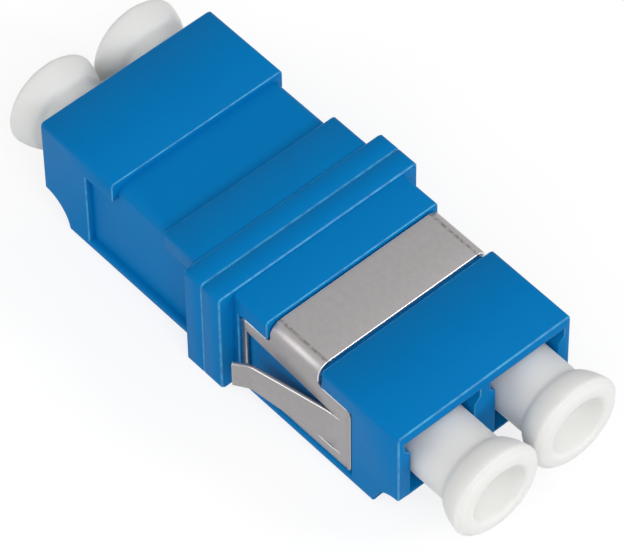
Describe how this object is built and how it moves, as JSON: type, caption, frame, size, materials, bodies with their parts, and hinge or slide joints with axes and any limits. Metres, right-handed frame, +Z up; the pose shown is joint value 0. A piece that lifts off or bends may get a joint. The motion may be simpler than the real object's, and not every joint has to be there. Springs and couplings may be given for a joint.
{
  "type": "lc fibre adapter",
  "caption": "Duplex fibre adapter in blue moulded plastic with a central panel flange, a sprung steel panel clip and push-in white dust caps.",
  "frame": {"origin": "middle of the flange's lower edge, on the plane where the two housing halves are welded", "axes": "+X along the fibre axes towards the end that carries the clip, +Y across the pair of ports, +Z up with the latch side down"},
  "size_m": [0.0381, 0.0156, 0.008],
  "materials": {
    "housing_blue": "satin moulded",
    "cap_white": "soft matte",
    "clip_steel": "matte rolled sheet",
    "ceramic": "ground ceramic"
  },
  "bodies": {
    "adapter": {"housing_front": "housing_blue", "housing_rear": "housing_blue", "split_sleeve_near": "ceramic", "split_sleeve_far": "ceramic", "panel_clip": "clip_steel"},
    "cap_front_near_body": {"cap_front_near": "cap_white"},
    "cap_front_far_body": {"cap_front_far": "cap_white"},
    "cap_rear_near_body": {"cap_rear_near": "cap_white"},
    "cap_rear_far_body": {"cap_rear_far": "cap_white"}
  },
  "joints": [
    {"name": "cap_front_near_pull", "type": "slide", "parent": "adapter", "child": "cap_front_near_body", "axis": [1, 0, 0], "range_m": [-0.00115, 0.01185]},
    {"name": "cap_front_far_pull", "type": "slide", "parent": "adapter", "child": "cap_front_far_body", "axis": [1, 0, 0], "range_m": [-0.0007, 0.0123]},
    {"name": "cap_rear_near_pull", "type": "slide", "parent": "adapter", "child": "cap_rear_near_body", "axis": [-1, 0, 0], "range_m": [0, 0.013]},
    {"name": "cap_rear_far_pull", "type": "slide", "parent": "adapter", "child": "cap_rear_far_body", "axis": [-1, 0, 0], "range_m": [0, 0.013]}
  ]
}
